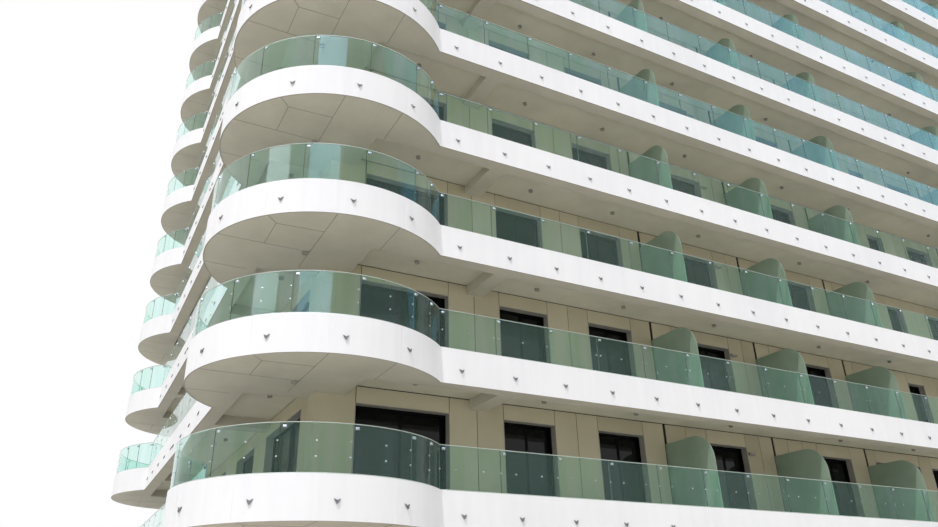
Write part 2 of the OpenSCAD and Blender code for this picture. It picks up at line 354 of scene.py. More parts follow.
whitePanel = coatedPanelWhite()
soffit = paintedSoffit("paintedSoffit", "#bdb7a8", "#c9c3b3")
# Painted light: the same ceiling paint in a paler tone for the recessed ceilings, which lifts their shade
recessSoffitPaintedLight = paintedSoffit("recessSoffitPaintedLight", "#d4cebc", "#e0dac8")
boards = fibreCement()
clearGlass = balustradeGlass()
blackCoat = powderBlack()
steel = brushedSteel()
paving = slabPaving("porcelainPaving", "#cdcbc4", "#d6d4cd", "#a3a19b")
roofPaving = slabPaving("roofPaving", "#a3a19b", "#adaba4", "#84827d")
# What closes a joint: dull black rubber tape behind the boards, and dusty grey mastic in the ceilings
tape = dappled("rubberTape", 8.0, 3.0, "#14130f", "#211f19", {"Roughness": 0.9})
mastic = dappled("ceilingMastic", 8.0, 3.0, "#827d73", "#8f8a80", {"Roughness": 0.9})
# Acid etched green glass of the privacy screens: dull, with a soft cloudy film
frosted = dappled("etchedGlass", 2.5, 4.0, "#91a691", "#a5b9a4",
                  {"Roughness": 0.45, "IOR": 1.5, "Transmission Weight": 0.25})
# Solar control double glazing of the doors: nearly black, which is painted shade of the dark rooms behind it,
# with clear reflections and a faint film
glazing = dappled("darkGlazing", 1.6, 3.0, "#0a0b0b", "#121413", {"Roughness": 0.06, "IOR": 1.32})
# Ground edge of a glass pane, seen end on: a dull grey green, with a fine haze
edge = dappled("glassEdge", 40.0, 2.0, "#55685f", "#64776e", {"Roughness": 0.5, "Specular IOR Level": 0.25})
# Anodised aluminium of the glass rail, its shoe and the roof coping: satin grey, a little uneven
railMetal = dappled("anodised", 45.0, 3.0, "#b9c2ba", "#c8d0c8", {"Metallic": 0.3, "Roughness": 0.4})
# Grey coated steel sheet of the door linings, the drip edge and the stair house door: matt, a little dusty.
# On the drip edge this grey is painted shade
revealSheet = dappled("revealGrey", 6.0, 4.0, "#9b958d", "#aaa49c", {"Roughness": 0.55})
# Cast aluminium, grey and dull: the rims of the lamps, and a darker copy for the chevrons, which is painted
# shade of their undersides and of the shadows below them
lampRim = dappled("castGrey", 120.0, 2.0, "#8c877e", "#99948b", {"Roughness": 0.5})
chevronPaintedShadeGrey = dappled("castGreyPaintedShade", 120.0, 2.0, "#62615f", "#6f6d6b", {"Roughness": 0.5})
# Opal lens of the lamps, unlit: a dusty warm grey
lampLens = dappled("opalLens", 30.0, 2.0, "#a8a298", "#b4aea4", {"Roughness": 0.35})

nodeFinish = {
    "band": whitePanel, "corner_ceilings": soffit, "edge_beams": soffit, "downstand_beams": soffit,
    "corner_slabs": paving, "floors": paving, "ground_floor": paving,
    "roof_slab": roofPaving, "front_wall": boards, "back_wall": boards, "left_wall": boards,
    "right_wall": boards, "head_beams": boards, "privacy_screens": frosted, "glass": clearGlass,
    "stair_house_walls": boards, "stair_house_roof": whitePanel,
}
for name, node in nodes.items():
    finish = max((key for key in nodeFinish if name.startswith(key)), key=len)
    node.data.materials.clear()
    node.data.materials.append(nodeFinish[finish])
# Everything that faces down is painted ceiling. The recessed floor plates get a paler tone of it, which is
# painted light that lifts the shade of the recesses
for name in [n for n in nodes if n.startswith(("floors", "roof_slab", "corner_slabs", "band"))]:
    node = nodes[name]
    node.data.materials.append(soffit if name.startswith("band") else recessSoffitPaintedLight)
    for face in node.data.polygons:
        face.material_index = 1 if face.normal.z < -0.5 else 0
print("materials made")


# Cladding boards with open joints over rubber tape, each side drawn as a front at its place
cladding = {"thick": 0.012, "joint": 0.008, "partyGap": 0.05, "widest": 0.5, "spare": 0.01, "topGap": 0.013,
            "footGap": 0.012, "tapeWidth": 0.04, "tapeThick": 0.003, "tapeLap": 0.004, "edge": 0.0015}


def boardSpans(start, end, doors, parties):  # upright boards between the doorways, as (from, to) pairs
    stops = sorted([start, end] + [x for door in doors for x in door] + list(parties))
    spans = []
    for a, b in zip(stops, stops[1:]):
        if any(abs(a - door[0]) < near for door in doors):
            continue
        count = math.ceil((b - a) / cladding["widest"] - cladding["spare"])  # no board more for a hair
        ends = [a + (b - a) * i / count for i in range(count + 1)]
        for c, d in zip(ends, ends[1:]):
            left, right = (clearance(x, start, end, doors, parties) for x in (c, d))
            spans.append((c + left, d - right))
    return spans


def clearance(x, start, end, doors, parties):  # how far a board stays back from a line
    if any(abs(x - party) < near for party in parties):
        return cladding["partyGap"] / 2
    if x in (start, end) or any(abs(x - side) < near for door in doors for side in door):
        return 0
    return cladding["joint"] / 2


def board(face, x0, x1, z0, z1):
    piece = block((x0, -face - cladding["thick"], z0), (x1, -face, z1))
    selectFaces(piece, lambda f: f.normal.y > 0.5)
    bpy.ops.mesh.delete(type="FACE")
    selectFaces(piece, lambda f: f.normal.y < -0.5)
    bpy.ops.mesh.bevel(offset=cladding["edge"], segments=1, affect="EDGES")
    return done(piece)


def tapeStrip(face, x0, x1, z0, z1):
    piece = block((x0, -face - cladding["tapeThick"], z0), (x1, -face, z1))
    selectFaces(piece, lambda f: f.normal.y > 0.5)
    bpy.ops.mesh.delete(type="FACE")
    return done(piece)


def clad(face, start, end, doors, parties, low, head, top):  # boards and tapes of one storey of one side
    spans = boardSpans(start, end, doors, parties)
    foot, upper = low + cladding["footGap"], top - cladding["topGap"]
    gap = cladding["joint"]
    boardPieces = [board(face, a, b, foot, upper) for a, b in spans]
    boardPieces += [board(face, a + gap, b - gap, head, upper) for a, b in doors]
    half = cladding["tapeWidth"] / 2
    tapes = [tapeStrip(face, start, end, upper - half, top)]
    for (a, b), (c, d) in zip(spans, spans[1:]):
        if c - b < 2 * cladding["partyGap"]:  # a joint and not a doorway
            reach = max(half, (c - b) / 2 + cladding["tapeLap"])
            tapes.append(tapeStrip(face, (b + c) / 2 - reach, (b + c) / 2 + reach, low, top))
    for a, b in doors:
        tapes.append(tapeStrip(face, a, a + 2 * gap, head, top))
        tapes.append(tapeStrip(face, b - 2 * gap, b, head, top))
    return joined("boards", boardPieces), joined("tapes", tapes)


def clothe(name, face, reach, doors, parties, turn):  # all storeys of two opposite sides
    upper = clad(face, -reach, reach, doors, parties, floorTop[0], headLow[1], ceilingLow + storeyHeight)
    ground = clad(face, -reach, reach, doors, parties, groundTop, headLow[0], ceilingLow)
    for part, kind, finish in ((0, "Boards", boards), (1, "JointTape", tape)):
        stacked(upper[part])
        piece = joined(name + kind, [upper[part], ground[part]])
        finished(onBothSides(piece, turn), finish)


def clotheHouse():  # the stair house on the roof, whose doorway is in front
    low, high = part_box("stair_house_walls")
    out = high.x + cladding["thick"]
    levels = (low.z, houseHead, high.z)
    long, short = (high.y, -out, out), (high.x, low.y, high.y)  # each side's place, start and end
    sides = [(clad(*long, houseDoor, [], *levels), 0), (clad(*long, [], [], *levels), 180),
             (clad(*short, [], [], *levels), 90), (clad(*short, [], [], *levels), -90)]
    for part, kind, finish in ((0, "Boards", boards), (1, "JointTape", tape)):
        pieces = [turned(side[part], angle) for side, angle in sides]
        finished(joined("stairHouse" + kind, pieces), finish)


houseDoor = gaps("stair_house_walls", 0)[1:2]
houseHead = marks("stair_house_walls", 2)[1]
clothe("longSide", wallFace, sideFace + cladding["thick"], frontDoors, partyLines, 0)
clothe("shortSide", sideFace, wallFace, sideDoors, [], -90)
clotheHouse()
print("cladding boards done")


# Sliding doors: a black outer frame with two leaves on two tracks, set back in the doorway
doorSet = {"back": 0.094, "frame": 0.028, "depth": 0.055, "leaf": 0.034, "leafDepth": 0.022, "track": 0.013,
           "lap": 0.02, "glass": 0.006, "bite": 0.8, "lining": 0.006, "liningProud": 0.003,
           "pull": (0.008, 0.012, 0.16), "pullHeight": 0.48, "pullEasing": 0.003}


def ring(low, high, width):  # an upright frame: a block whose front and back are inset and bridged
    piece = block(low, high)
    selectFaces(piece, lambda f: abs(f.normal.y) > 0.5)
    bpy.ops.mesh.inset(thickness=width, use_individual=True)
    selectFaces(piece, lambda f: abs(f.normal.y) > 0.5 and insideOf(f, low, high, width))
    bpy.ops.mesh.bridge_edge_loops()
    return done(piece)


def insideOf(f, low, high, width):
    middle = ((low[0] + high[0]) / 2, (low[2] + high[2]) / 2)
    return abs(f.center.x - middle[0]) < width / 2 and abs(f.center.z - middle[1]) < width / 2


def slidingDoor(wide, high):  # drawn with its lower left corner at the origin, and its face on y = 0
    frame, depth, leaf = doorSet["frame"], doorSet["depth"], doorSet["leaf"]
    rings = [ring((0, 0, 0), (wide, depth, high), frame)]
    panes = []
    middle = wide / 2
    for x0, x1, side in ((frame, middle + doorSet["lap"], -1), (middle - doorSet["lap"], wide - frame, 1)):
        y = depth / 2 + side * doorSet["track"]
        half, bite, thin = doorSet["leafDepth"] / 2, leaf * doorSet["bite"], doorSet["glass"] / 2
        rings.append(ring((x0, y - half, frame), (x1, y + half, high - frame), leaf))
        panes.append(block((x0 + bite, y - thin, frame + bite), (x1 - bite, y + thin, high - frame - bite)))
    proud = doorSet["back"] + cladding["thick"] + doorSet["liningProud"]
    lining = ring((0, -proud, 0), (wide, 0, high), doorSet["lining"])
    size = Vector(doorSet["pull"])
    leafFace = depth / 2 - doorSet["track"] - doorSet["leafDepth"]
    corner = Vector((middle + leaf / 2, leafFace, doorSet["pullHeight"]))
    pull = block(corner - Vector((size.x, 0, 0)), corner + Vector((0, size.y, size.z)))
    selectFaces(pull, lambda f: f.normal.y < -0.5)
    bpy.ops.mesh.bevel(offset=doorSet["pullEasing"], segments=1, affect="EDGES")
    rings.append(done(pull))
    return joined("frames", rings), joined("panes", panes), lining


def hang(face, doors, low, head):  # one storey of doors on one side
    kinds = ([], [], [])
    for a, b in doors:
        for kind, piece in zip(kinds, slidingDoor(b - a, head - low)):
            piece.location = (a, -face + doorSet["back"], low)
            kind.append(settle(piece))
    return [joined("kind", kind) for kind in kinds]


def fitDoors(name, face, doors, turn):
    upper = hang(face, doors, floorTop[0], headLow[1])
    ground = hang(face, doors, groundTop, headLow[0])
    for part, kind, finish, slotName in ((0, "DoorFrames", blackCoat, "dark_frame"),
                                         (1, "DoorGlass", glazing, "window_glass"),
                                         (2, "DoorLinings", revealSheet, "dark_frame")):
        stacked(upper[part])
        piece = joined(name + kind, [upper[part], ground[part]])
        finished(onBothSides(piece, turn), finish)


fitDoors("longSide", wallFace, frontDoors, 0)
fitDoors("shortSide", sideFace, sideDoors, -90)
print("sliding doors done")


# Balustrade: separate straight panes, curved panes round the corners, a thin rail, clamps on all storeys, and
# studs on the two lowest balcony storeys. On each of these the straight panes have theirs at other places
balustrade = {"thick": 0.012, "inset": 0.02, "high": 0.48, "pane": 0.765, "gap": 0.003, "cornerGap": 0.006,
              "endEasing": 0.0025, "flat": 2.3, "railWide": 0.018, "railHigh": 0.008, "shoeWide": 0.028,
              "shoeHigh": 0.012, "barEasing": 0.003, "clamp": (0.038, 0.016, 0.028), "clampGrip": 0.01,
              "clampEasing": 0.008, "clampAt": 0.05, "cornerClampAt": 0.04, "clampDrop": 0.022,
              "stud": 0.009, "studHigh": 0.005, "studRim": 0.3, "studDome": 0.4,
              "lowStuds": (0.0, 0.26, 0.71), "studs": (0.055, 0.5, 0.96), "studLevel": 0.225,
              "upperStud": 0.31, "cornerStud": 0.16, "cornerStoreys": 2,
              "cornerJoints": (144.5, 157.8, 185.2, 212.7, 240.3, 267.5, 294.5, 307.5),
              "cornerStuds": (171.5, 199, 227.3, 254, 281.4)}
glassLow = bandLow[0] + bandHeight
glassHigh = glassLow + balustrade["high"]
glassRadius = cornerRadius - balustrade["inset"]
arcStart, arcWidth, glassCrease = cornerArc(glassRadius, cornerInset - balustrade["inset"])


def stud(x, y, z):  # a round glass fixing, facing the front
    radius, high = balustrade["stud"], balustrade["studHigh"]
    deselect()
    bpy.ops.mesh.primitive_cylinder_add(vertices=8, radius=radius, depth=high * 2, location=(x, y, z),
                                        rotation=(math.pi / 2, 0, 0))
    piece = settle(bpy.context.active_object)
    selectFaces(piece, lambda f: f.normal.y < -0.9)
    bpy.ops.mesh.inset(thickness=radius * balustrade["studRim"])
    bpy.ops.transform.translate(value=(0, -high * balustrade["studDome"], 0))
    return done(piece)


def clamp(x, y, z):  # a small pad beside a joint, below the rail
    wide, deep, high = balustrade["clamp"]
    piece = block((x - wide / 2, y - balustrade["clampGrip"], z - high), (x + wide / 2, y + deep, z))
    selectFaces(piece, lambda f: f.normal.y < -0.5)
    bpy.ops.mesh.bevel(offset=balustrade["clampEasing"], segments=2, affect="EDGES")
    return done(piece)


def runOf(face, reach, wide, low, high):  # a long bar over the middle of the glass, its upper edges eased
    middle = -face + balustrade["inset"] + balustrade["thick"] / 2
    piece = block((-reach, middle - wide / 2, low), (reach, middle + wide / 2, high))
    selectFaces(piece, lambda f: f.normal.z > 0.5)
    bpy.ops.mesh.bevel(offset=balustrade["barEasing"], segments=1, affect="EDGES")
    return done(piece)


def straightBalustrade(name, face, reach, turn, replaces):
    count = round(2 * reach / balustrade["pane"])
    pitch = 2 * reach / count
    outer = -face + balustrade["inset"]
    pane = block((-reach + balustrade["gap"] / 2, outer, glassLow),
                 (-reach + pitch - balustrade["gap"] / 2, outer + balustrade["thick"], glassHigh))
    selectFaces(pane, lambda f: abs(f.normal.x) > 0.5)
    bpy.ops.mesh.bevel(offset=balustrade["endEasing"], segments=1, affect="EDGES")
    done(pane)
    level = glassLow + balustrade["studLevel"]
    clamps = stacked(clamp(balustrade["clampAt"] - reach, outer, glassHigh - balustrade["clampDrop"]))
    lowest = [stud(-reach + pitch * t, outer, level) for t in balustrade["lowStuds"]]
    others = [stud(-reach + pitch * t, outer, level + storeyHeight) for t in balustrade["studs"]]
    fittings = joined("fittings", [clamps] + lowest + others)
    rail = runOf(face, reach, balustrade["railWide"], glassHigh, glassHigh + balustrade["railHigh"])
    shoe = runOf(face, reach, balustrade["shoeWide"], glassLow, glassLow + balustrade["shoeHigh"])
    made = {"Panes": stacked(rowed(pane, count, pitch)), "Fittings": rowed(fittings, count, pitch),
            "Rail": stacked(joined("rail", [rail, shoe]))}
    for kind, piece in made.items():
        piece = joined(name + kind, [onBothSides(piece, turn)])
        if kind == "Panes":
            finished(piece, clearGlass, replaces=replaces)
            paintEnds(piece, lambda f: abs(f.normal.y if turn else f.normal.x) > 0.5)
        else:
            finished(piece, steel if kind == "Fittings" else railMetal)


def paintEnds(piece, test):  # the ground edges at the ends of a pane
    piece.data.materials.append(edge)
    for face in piece.data.polygons:
        face.material_index = 1 if test(face) else 0


def isCurvedEnd(face):  # true where a face of a corner pane looks along the arc
    sideX, sideY = math.copysign(1, face.center.x), math.copysign(1, face.center.y)
    out = Vector((abs(face.center.x) + cornerCentre.x, abs(face.center.y) + cornerCentre.y, 0)).normalized()
    return abs(out.x * face.normal.y * sideY - out.y * face.normal.x * sideX) > 0.7


# A curved strip from angle 0 round the corner's centre, spun from its upright section
def spun(low, high, radius, thick, degrees, steps, corner=0.0):
    deselect()
    centre = cornerCentre
    place = (centre.x + radius - thick / 2, centre.y, (low + high) / 2)
    bpy.ops.mesh.primitive_plane_add(size=1, location=place, rotation=(math.pi / 2, 0, 0))
    bpy.context.active_object.scale = (thick, high - low, 1)
    piece = settle(bpy.context.active_object)
    bpy.ops.object.mode_set(mode="EDIT")
    bpy.ops.mesh.select_all(action="SELECT")
    if corner:
        bpy.ops.mesh.bevel(offset=corner, affect="VERTICES")
    bpy.ops.mesh.spin(steps=steps, angle=-math.radians(degrees), center=centre, axis=(0, 0, 1))
    bpy.ops.mesh.select_all(action="SELECT")
    bpy.ops.mesh.normals_make_consistent(inside=False)
    return done(piece)


def cornerBalustrade():
    joints = [arcStart, *balustrade["cornerJoints"], arcStart + arcWidth]
    gapAngle = math.degrees(balustrade["cornerGap"] / 2 / glassRadius)
    panes, fittings = [], []
    x, y, beside = cornerCentre.x, cornerCentre.y - glassRadius, balustrade["stud"] * 2
    for at, end in zip(joints, joints[1:]):
        flats = round((end - at) / balustrade["flat"])
        pane = spun(glassLow, glassHigh, glassRadius, balustrade["thick"], end - at - gapAngle, flats)
        panes.append(turned(pane, at + gapAngle / 2, cornerCentre))
        fixings = stacked(clamp(x + balustrade["cornerClampAt"], y, glassHigh - balustrade["clampDrop"]))
        fittings.append(turned(fixings, at - frontAngle, cornerCentre))
    for at, shift in [(at, -beside) for at in joints[:-1]] + [(at, 0) for at in balustrade["cornerStuds"]]:
        fixings = [stud(x + shift, y, glassLow + balustrade[key]) for key in ("cornerStud", "upperStud")]
        fixings = stacked(joined("fixings", fixings), balustrade["cornerStoreys"])
        fittings.append(turned(fixings, at - frontAngle, cornerCentre))
    bars = []
    for wide, low, high in ((balustrade["railWide"], glassHigh, balustrade["railHigh"]),
                            (balustrade["shoeWide"], glassLow, balustrade["shoeHigh"])):
        radius = glassRadius + (wide - balustrade["thick"]) / 2
        bar = spun(low, low + high, radius, wide, arcWidth, arcSteps, balustrade["barEasing"])
        bars.append(turned(bar, arcStart, cornerCentre))
    made = {"Panes": stacked(joined("panes", panes)), "Fittings": joined("fittings", fittings),
            "Rail": stacked(joined("rail", bars))}
    for kind, piece in made.items():
        piece = joined("corner" + kind, [mirrored(piece)])
        if kind == "Panes":
            finished(piece, clearGlass, 30, cornerGlassNodes)
            paintEnds(piece, isCurvedEnd)
        else:
            finished(piece, steel if kind == "Fittings" else railMetal, 30)


cornerGlassNodes = [name for name in nodes if name.startswith("glass_corner")]
straightBalustrade("longSide", bandFace, -cornerCentre.x - glassCrease, 0, ("glass_front", "glass_back"))
straightBalustrade("shortSide", sideBandFace, -cornerCentre.y - glassCrease, -90,
                   ("glass_left", "glass_right"))
cornerBalustrade()
print("balustrades done")


# Small grey chevrons on every white band, notched on top, with a point that stands proud below
chevron = {"wide": 0.064, "high": 0.054, "notch": 0.015, "thick": 0.007, "proud": 0.011, "footWide": 0.42,
           "footShift": 0.29, "pitch": 0.722, "first": 0.269, "level": 0.158, "cornerLevel": 0.172,
           "cornerAt": (198, 231.7, 262.5, 291.5)}


def chevronAt(x, y, z):  # half a block, with its foot drawn in and forward and its inner side pulled down
    wide, high, notch = chevron["wide"] / 2, chevron["high"] / 2, chevron["notch"]
    half = block((0, -chevron["thick"], notch - high), (wide, 0, high))
    selectFaces(half, lambda f: f.normal.z < -0.5)
    bpy.ops.transform.resize(value=(chevron["footWide"], 1, 1))
    bpy.ops.transform.translate(value=(-wide * chevron["footShift"], -chevron["proud"], 0))
    done(half)
    selectFaces(half, lambda f: f.normal.x < -0.5)
    bpy.ops.transform.translate(value=(0, 0, -notch))
    bpy.ops.mesh.delete(type="FACE")
    done(half)
    applied(half, "MIRROR", use_axis=(True, False, False))
    half.location = (x, y, z)
    return settle(half)


def chevrons():
    bandCount = storeyCount + 1
    crease = cornerArc(cornerRadius, cornerInset)[2]
    for name, face, run, turn in (("longSide", bandFace, -cornerCentre.x - crease, 0),
                                  ("shortSide", sideBandFace, -cornerCentre.y - crease, -90)):
        count = math.ceil((run - chevron["first"]) / chevron["pitch"])
        mark = chevronAt(-run + chevron["first"], -face, bandLow[0] + chevron["level"])
        row = rowed(mark, count, chevron["pitch"])
        mirrored(row, y=False)
        piece = joined(name + "Chevrons", [onBothSides(stacked(row, bandCount), turn)])
        finished(piece, chevronPaintedShadeGrey)
    level = bandLow[0] + chevron["cornerLevel"]
    outer = cornerCentre.y - cornerRadius
    arc = [turned(chevronAt(cornerCentre.x, outer, level), at - frontAngle, cornerCentre)
           for at in chevron["cornerAt"]]
    piece = joined("cornerChevrons", [mirrored(stacked(joined("row", arc), bandCount))])
    finished(piece, chevronPaintedShadeGrey)


chevrons()
print("chevrons done")


# Drip edge under the face of every white band, and the coping of the roof's edge: folded sheet. The drip
# edge's grey is painted shade, which stands for the shaded groove under the band
folded = {"dripWide": 0.012, "dripDeep": 0.003, "dripInset": 0.002, "copingOver": 0.004, "copingWide": 0.074,
          "copingHigh": 0.006}


def edging(name, inset, wide, low, high, count, finish):  # a strip along the bands of all sides and corners
    start, width, crease = cornerArc(cornerRadius - inset, cornerInset - inset)
    pieces = []
    for face, middle, turn in ((bandFace, -cornerCentre.x, 0), (sideBandFace, -cornerCentre.y, -90)):
        reach = middle - crease
        strip = block((-reach, -face + inset, low), (reach, -face + inset + wide, high))
        pieces.append(onBothSides(strip, turn))
    arc = turned(spun(low, high, cornerRadius - inset, wide, width, arcSteps), start, cornerCentre)
    pieces.append(mirrored(arc))
    finished(stacked(joined(name, pieces), count), finish, 30)


# White sealant in the open joints of the curved bands, a little below their face
sealant = {"panels": 6, "wide": 0.006, "deep": 0.02, "below": 0.003}


def sealBands():
    start, width = cornerArc(cornerRadius, cornerInset)[:2]
    half, outer = sealant["wide"] / 2, cornerCentre.y - cornerRadius + sealant["below"]
    strips = []
    for i in range(1, sealant["panels"]):
        strip = block((cornerCentre.x - half, outer, bandLow[0]),
                      (cornerCentre.x + half, outer + sealant["deep"], bandLow[0] + bandHeight))
        strips.append(turned(strip, start + i * width / sealant["panels"] - frontAngle, cornerCentre))
    piece = mirrored(stacked(joined("bandSealant", strips), storeyCount + 1))
    finished(piece, whitePanel)


sealBands()
edging("dripEdgeAndPaintedShade", folded["dripInset"], folded["dripWide"], bandLow[0] - folded["dripDeep"], bandLow[0],
       storeyCount + 1, revealSheet)
copingLow = bandLow[-1] + bandHeight
edging("roofCoping", -folded["copingOver"], folded["copingWide"], copingLow, copingLow + folded["copingHigh"],
       1, railMetal)
print("edgings done")


# Joints of the level ceilings under the rounded corners: narrow strips of mastic, as (from, to) in the plan
ceilingJoint = {"wide": 0.007, "deep": 0.0015}
ceilingJoints = [
    ((-12.117, -5.79), (-12.117, -4.3)), ((-11.38, -5.78), (-11.38, -5.16)),
    ((-12.662, -5.289), (-12.662, -4.756)), ((-12.662, -5.289), (-12.117, -5.32)),
    ((-13.195, -4.756), (-12.117, -4.756)), ((-13.19, -3.968), (-12.7, -3.968)),
    ((-12.662, -5.289), (-12.785, -5.425)),
]


def jointStrip(start, end, level, wide, deep):  # a strip hanging from a ceiling
    start, end = Vector(start), Vector(end)
    along = end - start
    middle = (start + end) / 2
    piece = block((-along.length / 2, -wide / 2, -deep), (along.length / 2, wide / 2, 0))
    selectFaces(piece, lambda f: f.normal.z > 0.5)
    bpy.ops.mesh.delete(type="FACE")
    done(piece)
    turned(piece, math.degrees(math.atan2(along.y, along.x)))
    piece.location = (middle.x, middle.y, level)
    return settle(piece)


strips = [jointStrip(a, b, bandLow[0], ceilingJoint["wide"], ceilingJoint["deep"]) for a, b in ceilingJoints]
piece = mirrored(stacked(joined("ceilingJoints", strips), storeyCount + 1))
finished(piece, mastic)


# Ceiling lights over the doors and at the corners: a round grey rim with a warm grey lens, set back in it.
# The shifts are from the middles of the doors. Over a wide door the light hangs further forward, and a
# narrow one has none
ceilingLight = {"radius": 0.03, "rim": 0.007, "high": 0.034, "lensBack": 0.4, "lensArea": 0.0005,
                "fromFace": 0.616, "sideAt": -3.6, "corner": (-0.4, -0.38),
                "shifts": (-0.025, 0.03, 0.03, -0.2, -0.2), "middleShifts": (0.03, 0, 0),
                "wideDoor": 1.23, "wideForward": 0.076, "narrowDoor": 0.6}


def ceilingLightAt(x, y, z):
    high = ceilingLight["high"]
    deselect()
    bpy.ops.mesh.primitive_cylinder_add(vertices=16, radius=ceilingLight["radius"], depth=high,
                                        location=(x, y, z - high / 2))
    piece = settle(bpy.context.active_object)
    selectFaces(piece, lambda f: f.normal.z < -0.9)
    bpy.ops.mesh.inset(thickness=ceilingLight["rim"])
    bpy.ops.transform.translate(value=(0, 0, high * ceilingLight["lensBack"]))
    return done(piece)


def ceilingLights():
    shiftX, shiftY = ceilingLight["corner"]
    corner = ceilingLightAt(cornerCentre.x + shiftX, cornerCentre.y + shiftY, bandLow[0])
    half = ceilingLight["shifts"]
    shifts = half + ceilingLight["middleShifts"] + tuple(-shift for shift in reversed(half))
    long = []
    for (a, b), shift in zip(frontDoors, shifts):
        forward = ceilingLight["wideForward"] if b - a > ceilingLight["wideDoor"] else 0
        if b - a > ceilingLight["narrowDoor"]:
            y = -bandFace + ceilingLight["fromFace"] - forward
            long.append(ceilingLightAt((a + b) / 2 + shift, y, ceilingLow))
    middles = [ceilingLight["sideAt"]] + [(a + b) / 2 for a, b in sideDoors[1:3]] + [-ceilingLight["sideAt"]]
    short = [ceilingLightAt(x, -sideBandFace + ceilingLight["fromFace"], ceilingLow) for x in middles]
    levels = storeyCount + 1
    pieces = {"corner": mirrored(stacked(corner, levels)),
              "longSide": onBothSides(stacked(joined("row", long), levels), 0),
              "shortSide": onBothSides(stacked(joined("row", short), levels), -90)}
    for name, row in pieces.items():
        piece = finished(joined(name + "Lights", [row]), lampRim, 40)
        piece.data.materials.append(lampLens)
        for face in piece.data.polygons:
            isLens = face.normal.z < -0.9 and face.area > ceilingLight["lensArea"]
            face.material_index = 1 if isLens else 0


ceilingLights()
print("ceilings done")


# Wall lamps of the first small flats: a short level tube on a plate, beside the door and above the balustrade
wallLamp = {"door": 3, "plate": (0.08, 0.006, 0.05), "easing": 0.002, "radius": 0.019, "long": 0.12,
            "out": 0.026, "beside": 0.067, "level": 1.42, "endInset": 0.005, "endDeep": 0.004}


def wallLamps():
    wide, deep, high = wallLamp["plate"]
    level = bandLow[0] + wallLamp["level"]
    x, y = frontDoors[wallLamp["door"]][1] + wallLamp["beside"], -wallFace - cladding["thick"]
    plate = block((x - wide / 2, y - deep, level - high / 2), (x + wide / 2, y, level + high / 2))
    selectFaces(plate, lambda f: f.normal.y < -0.5)
    bpy.ops.mesh.bevel(offset=wallLamp["easing"], segments=1, affect="EDGES")
    done(plate)
    deselect()
    bpy.ops.mesh.primitive_cylinder_add(vertices=12, radius=wallLamp["radius"], depth=wallLamp["long"],
                                        location=(x, y - wallLamp["out"], level),
                                        rotation=(0, math.pi / 2, 0))
    tube = settle(bpy.context.active_object)
    selectFaces(tube, lambda f: abs(f.normal.x) > 0.9)
    bpy.ops.mesh.inset(thickness=wallLamp["endInset"], depth=-wallLamp["endDeep"], use_individual=True)
    done(tube)
    piece = mirrored(stacked(joined("wallLamps", [plate, tube])))
    finished(piece, lampRim, 30)


wallLamps()


# Fixings of the privacy screens: steel shoes that grip the glass at the wall and on the floor
screenShoe = {"long": 0.036, "grip": 0.009, "deep": 0.03, "easing": 0.003,
              "wallAt": (0.16, 0.58, 1.0), "floorAt": (0.22, 0.62)}


def screenFixings():
    grip, half, deep = screenShoe["grip"], screenShoe["long"] / 2, screenShoe["deep"]
    wall = -wallFace - cladding["thick"]
    shoes = []
    for a, b in zip(screenFaces[0::2], screenFaces[1::2]):
        x0, x1 = a - grip, b + grip
        shoes += [block((x0, wall - deep, floorTop[0] + z - half), (x1, wall, floorTop[0] + z + half))
                  for z in screenShoe["wallAt"]]
        shoes += [block((x0, wall - y - half, floorTop[0]), (x1, wall - y + half, floorTop[0] + deep))
                  for y in screenShoe["floorAt"]]
    piece = joined("screenFixings", shoes)
    selectFaces(piece, lambda f: True)
    bpy.ops.mesh.bevel(offset=screenShoe["easing"], segments=1, affect="EDGES")
    done(piece)
    finished(mirrored(stacked(piece), x=False), steel)


screenFixings()
print("lamps and fixings done")


# Steel door of the stair house: a frame, a leaf with a pressed panel, three hinges and a lever. The boxes of
# plate, lever and spindle are measured from the lever's axis
houseDoorSet = {"back": 0.03, "depth": 0.05, "frame": 0.026, "gap": 0.003, "leaf": 0.022, "leafBack": 0.01,
                "panel": 0.055, "slope": 0.006, "pressed": 0.004, "easing": 0.0025, "hinge": (0.007, 0.05),
                "hingeBack": 0.006, "hingeAt": (0.14, 0.52, 0.9), "leverIn": 0.035, "leverAt": 0.52,
                "plate": ((-0.012, 0.004, -0.04), (0.012, 0.012, 0.03)),
                "lever": ((-0.075, -0.02, -0.005), (0.006, -0.012, 0.005)),
                "spindle": ((-0.005, -0.018, -0.005), (0.005, 0.01, 0.005))}


